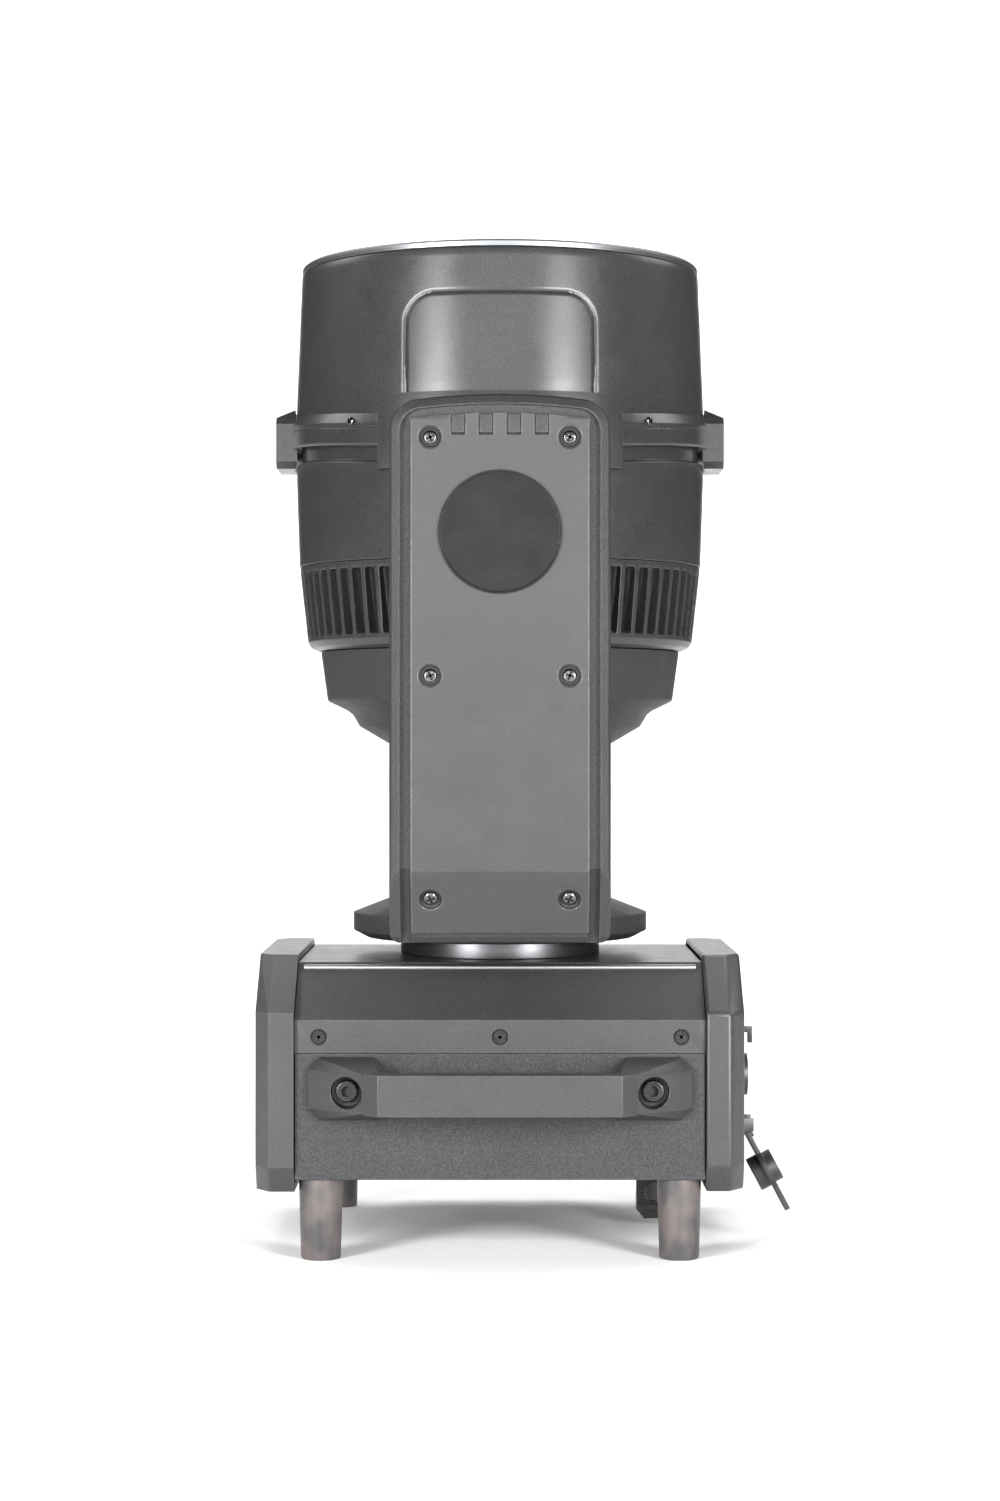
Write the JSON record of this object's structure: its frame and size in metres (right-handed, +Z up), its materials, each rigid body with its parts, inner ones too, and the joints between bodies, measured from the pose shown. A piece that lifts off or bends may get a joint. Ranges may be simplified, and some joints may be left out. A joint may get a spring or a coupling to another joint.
{
  "type": "moving head light",
  "caption": "Moving head wash light: a round tilting head in a two-arm yoke that pans on a base with carrying handles and tall rubber feet.",
  "frame": {"origin": "where the pan axis crosses the clamp pad under the base tray", "axes": "+Z up along the pan axis, tilt axis parallel to Y, display end at -X, connector end at +X"},
  "size_m": [0.3351, 0.3596, 0.6228],
  "materials": {
    "charcoal_shell": "fine-textured charcoal powder coat",
    "charcoal_casting": "charcoal paint on cast aluminium",
    "arm_panel": "satin metallic grey on aluminium plate",
    "gloss_black": "high gloss black",
    "bezel_metal": "satin aluminium",
    "brushed_dark": "dark anodised, brushed round",
    "steel": "machined steel",
    "black_steel": "black oxide",
    "rubber": "matt moulded rubber",
    "black_plastic": "moulded, fine grain",
    "aluminium": "extruded",
    "circuit_board": "solder mask",
    "clear_glass": "clear, polished",
    "lens_plastic": "clear moulded lenses"
  },
  "bodies": {
    "base": {"base_tray": "charcoal_shell", "top_cover": "charcoal_shell", "end_cap_display": "charcoal_casting", "end_cap_connector": "charcoal_casting", "display_window": "gloss_black", "control_board": "circuit_board", "data_inlet": "black_plastic", "data_outlet": "black_plastic", "power_inlet": "black_plastic", "handle_front": "charcoal_casting", "handle_rear": "charcoal_casting", "handle_bolt_front_left": "black_steel", "handle_bolt_front_right": "black_steel", "handle_bolt_rear_left": "black_steel", "handle_bolt_rear_right": "black_steel", "foot_front_left": "rubber", "foot_front_right": "rubber", "foot_rear_left": "rubber", "foot_rear_right": "rubber", "safety_eye": "steel", "power_supply": "aluminium", "pan_ring": "brushed_dark", "pan_motor": "black_plastic", "pan_belt": "rubber"},
    "menu_button_1": {"menu_button_1": "black_plastic"},
    "menu_button_2": {"menu_button_2": "black_plastic"},
    "menu_button_3": {"menu_button_3": "black_plastic"},
    "menu_button_4": {"menu_button_4": "black_plastic"},
    "power_inlet_flap": {"power_inlet_flap": "rubber"},
    "pan_motor_pulley": {"pan_motor_pulley": "aluminium"},
    "yoke": {"yoke_frame": "charcoal_casting", "yoke_base_cover": "charcoal_casting", "arm_cover_front": "arm_panel", "arm_cover_rear": "arm_panel", "arm_badge_front": "gloss_black", "arm_badge_rear": "gloss_black", "tilt_bearing_front": "steel", "tilt_bearing_rear": "steel", "pan_spindle": "steel", "pan_pulley": "aluminium", "tilt_motor": "black_plastic", "tilt_belt": "rubber"},
    "tilt_motor_pulley": {"tilt_motor_pulley": "aluminium"},
    "head": {"head_hood": "charcoal_casting", "front_bezel": "bezel_metal", "front_glass": "clear_glass", "head_collar": "charcoal_casting", "head_lower_shell": "charcoal_casting", "head_vent_ring": "charcoal_casting", "head_rear_cover": "charcoal_casting", "head_frame": "aluminium", "tilt_pulley": "aluminium", "heat_sink": "aluminium", "led_board": "aluminium", "zoom_guide_rod": "steel", "zoom_motor": "black_plastic", "fan_frame": "black_plastic"},
    "zoom_carriage": {"zoom_lens_plate": "lens_plastic"},
    "zoom_screw": {"zoom_screw": "steel"},
    "fan_rotor": {"fan_rotor": "black_plastic"}
  },
  "joints": [
    {"name": "pan", "type": "hinge", "parent": "base", "child": "yoke", "pos_m": [0, 0, 0.14], "axis": [0, 0, 1], "range_deg": [-270, 270]},
    {"name": "tilt", "type": "hinge", "parent": "yoke", "child": "head", "pos_m": [0, 0, 0.391], "axis": [0, 1, 0], "range_deg": [-125, 125]},
    {"name": "pan_motor_spin", "type": "hinge", "parent": "base", "child": "pan_motor_pulley", "pos_m": [0, 0.085, 0.109], "axis": [0, 0, 1], "range_deg": [-1410, 1410]},
    {"name": "tilt_motor_spin", "type": "hinge", "parent": "yoke", "child": "tilt_motor_pulley", "pos_m": [0, -0.16975, 0.28], "axis": [0, 1, 0], "range_deg": [-600, 600]},
    {"name": "zoom", "type": "slide", "parent": "head", "child": "zoom_carriage", "axis": [0, 0, 1], "range_m": [-0.03, 0]},
    {"name": "zoom_screw_spin", "type": "hinge", "parent": "head", "child": "zoom_screw", "pos_m": [-0.098, 0, 0.5], "axis": [0, 0, 1], "range_deg": [-1360, 10]},
    {"name": "fan_spin", "type": "hinge", "parent": "head", "child": "fan_rotor", "pos_m": [0, 0, 0.32], "axis": [0, 0, 1], "continuous": true},
    {"name": "power_flap_hinge", "type": "hinge", "parent": "base", "child": "power_inlet_flap", "pos_m": [0.1565, -0.052, 0.026], "axis": [0, -1, 0], "range_deg": [0, 150]},
    {"name": "menu_button_1_press", "type": "slide", "parent": "base", "child": "menu_button_1", "axis": [1, 0, 0], "range_m": [0, 0.001], "stiffness_N_per_m": 600, "springref_m": -0.0005},
    {"name": "menu_button_2_press", "type": "slide", "parent": "base", "child": "menu_button_2", "axis": [1, 0, 0], "range_m": [0, 0.001], "stiffness_N_per_m": 600, "springref_m": -0.0005},
    {"name": "menu_button_3_press", "type": "slide", "parent": "base", "child": "menu_button_3", "axis": [1, 0, 0], "range_m": [0, 0.001], "stiffness_N_per_m": 600, "springref_m": -0.0005},
    {"name": "menu_button_4_press", "type": "slide", "parent": "base", "child": "menu_button_4", "axis": [1, 0, 0], "range_m": [0, 0.001], "stiffness_N_per_m": 600, "springref_m": -0.0005}
  ],
  "couplings": [
    {"joint": "pan_motor_spin", "follows": "pan", "ratio": 5.2},
    {"joint": "tilt_motor_spin", "follows": "tilt", "ratio": 4.75},
    {"joint": "zoom_screw_spin", "follows": "zoom", "rad_per_m": 785.4}
  ]
}
